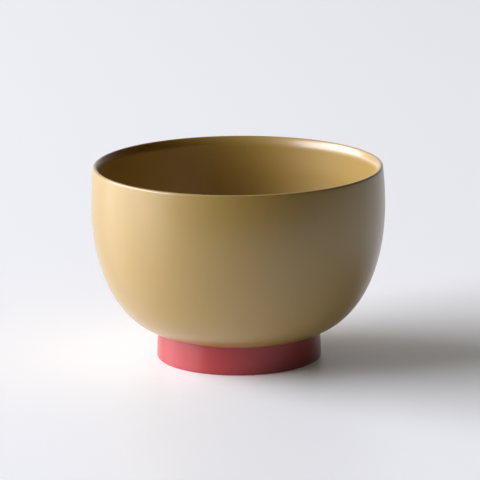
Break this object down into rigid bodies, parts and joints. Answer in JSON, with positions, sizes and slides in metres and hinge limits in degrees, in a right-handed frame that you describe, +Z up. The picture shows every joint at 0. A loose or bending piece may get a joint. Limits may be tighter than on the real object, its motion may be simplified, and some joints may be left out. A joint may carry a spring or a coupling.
{
  "type": "lacquered soup bowl",
  "caption": "Open soup bowl of turned wood in satin ochre lacquer, with a thin round lip, on a coral red lacquered foot ring; it holds hot soup and is lifted by its foot and rim.",
  "frame": {"origin": "centre of the circle that the foot stands on", "axes": "+Z up along the axis that the bowl is turned about; +X and +Y lie on the table and are alike"},
  "size_m": [0.115, 0.115, 0.0766],
  "materials": {
    "turned_wood": "matte",
    "dried_glue": "matte",
    "ochre_lacquer": "satin",
    "coral_lacquer": "satin"
  },
  "bodies": {
    "root": {"bowl_core": "turned_wood", "foot_ring": "turned_wood", "foot_glue": "dried_glue", "outer_lacquer": "ochre_lacquer", "inner_lacquer": "ochre_lacquer", "foot_lacquer": "coral_lacquer", "underside_lacquer": "coral_lacquer"}
  },
  "joints": []
}
